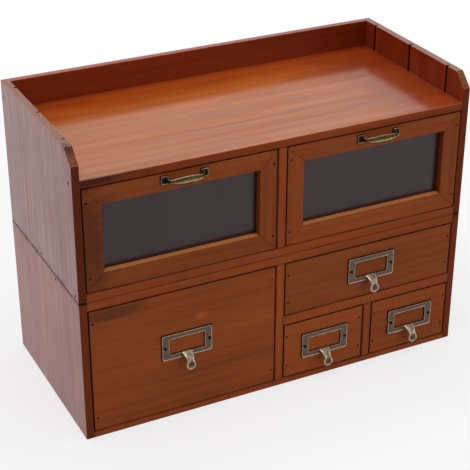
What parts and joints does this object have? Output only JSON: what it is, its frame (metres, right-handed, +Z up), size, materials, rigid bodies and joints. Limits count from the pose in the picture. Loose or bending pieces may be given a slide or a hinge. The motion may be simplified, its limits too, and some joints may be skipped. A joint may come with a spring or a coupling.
{
  "type": "desk drawer organizer",
  "caption": "Wooden desktop organizer in two stacked modules, with a railed tray top, glazed drawers with bow handles and plain drawers with label pulls.",
  "frame": {"origin": "centre of the case's footprint, on its underside, midway between the side panels and between the front edges and the back", "axes": "+X to the right seen from the front, +Y to the back, +Z up; the drawers slide out along -Y"},
  "size_m": [0.47, 0.2285, 0.3405],
  "materials": {
    "case_wood": "reddish-brown stain under satin lacquer",
    "front_wood": "reddish-brown stain under satin lacquer",
    "drawer_wood": "planed, lightly oiled",
    "dowel_wood": "bare",
    "dark_glass": "smoked, glossy",
    "aged_brass": "antiqued, worn bright along its edges",
    "aged_pewter": "antiqued grey metal, worn bright along its rims",
    "dark_steel": "blackened"
  },
  "bodies": {
    "case": {"lower_left_side": "case_wood", "lower_right_side": "case_wood", "upper_left_side": "case_wood", "upper_right_side": "case_wood", "lower_bottom_board": "case_wood", "lower_top_board": "case_wood", "upper_bottom_board": "case_wood", "tray_board": "case_wood", "lower_divider": "case_wood", "upper_divider": "case_wood", "lower_shelf": "case_wood", "small_divider": "case_wood", "lower_back_panel": "case_wood", "upper_back_panel": "case_wood", "case_pins": "dark_steel", "module_dowels": "dowel_wood"},
    "upper_left_drawer": {"upper_left_glazed_frame": "front_wood", "upper_left_glass_pane": "dark_glass", "upper_left_bow_handle": "aged_brass", "upper_left_drawer_left_side": "drawer_wood", "upper_left_drawer_right_side": "drawer_wood", "upper_left_drawer_back": "drawer_wood", "upper_left_drawer_bottom": "drawer_wood", "upper_left_drawer_fixings": "dark_steel"},
    "upper_right_drawer": {"upper_right_glazed_frame": "front_wood", "upper_right_glass_pane": "dark_glass", "upper_right_bow_handle": "aged_brass", "upper_right_drawer_left_side": "drawer_wood", "upper_right_drawer_right_side": "drawer_wood", "upper_right_drawer_back": "drawer_wood", "upper_right_drawer_bottom": "drawer_wood", "upper_right_drawer_fixings": "dark_steel"},
    "large_drawer": {"large_drawer_front": "front_wood", "large_label_pull": "aged_pewter", "large_drawer_left_side": "drawer_wood", "large_drawer_right_side": "drawer_wood", "large_drawer_back": "drawer_wood", "large_drawer_bottom": "drawer_wood", "large_drawer_fixings": "dark_steel"},
    "wide_drawer": {"wide_drawer_front": "front_wood", "wide_label_pull": "aged_pewter", "wide_drawer_left_side": "drawer_wood", "wide_drawer_right_side": "drawer_wood", "wide_drawer_back": "drawer_wood", "wide_drawer_bottom": "drawer_wood", "wide_drawer_fixings": "dark_steel"},
    "small_left_drawer": {"small_left_drawer_front": "front_wood", "small_left_label_pull": "aged_pewter", "small_left_drawer_left_side": "drawer_wood", "small_left_drawer_right_side": "drawer_wood", "small_left_drawer_back": "drawer_wood", "small_left_drawer_bottom": "drawer_wood", "small_left_drawer_fixings": "dark_steel"},
    "small_right_drawer": {"small_right_drawer_front": "front_wood", "small_right_label_pull": "aged_pewter", "small_right_drawer_left_side": "drawer_wood", "small_right_drawer_right_side": "drawer_wood", "small_right_drawer_back": "drawer_wood", "small_right_drawer_bottom": "drawer_wood", "small_right_drawer_fixings": "dark_steel"}
  },
  "joints": [
    {"name": "upper_left_drawer_slide", "type": "slide", "parent": "case", "child": "upper_left_drawer", "axis": [0, -1, 0], "range_m": [0, 0.15]},
    {"name": "upper_right_drawer_slide", "type": "slide", "parent": "case", "child": "upper_right_drawer", "axis": [0, -1, 0], "range_m": [0, 0.15]},
    {"name": "large_drawer_slide", "type": "slide", "parent": "case", "child": "large_drawer", "axis": [0, -1, 0], "range_m": [0, 0.15]},
    {"name": "wide_drawer_slide", "type": "slide", "parent": "case", "child": "wide_drawer", "axis": [0, -1, 0], "range_m": [0, 0.15]},
    {"name": "small_left_drawer_slide", "type": "slide", "parent": "case", "child": "small_left_drawer", "axis": [0, -1, 0], "range_m": [0, 0.15]},
    {"name": "small_right_drawer_slide", "type": "slide", "parent": "case", "child": "small_right_drawer", "axis": [0, -1, 0], "range_m": [0, 0.15]}
  ]
}
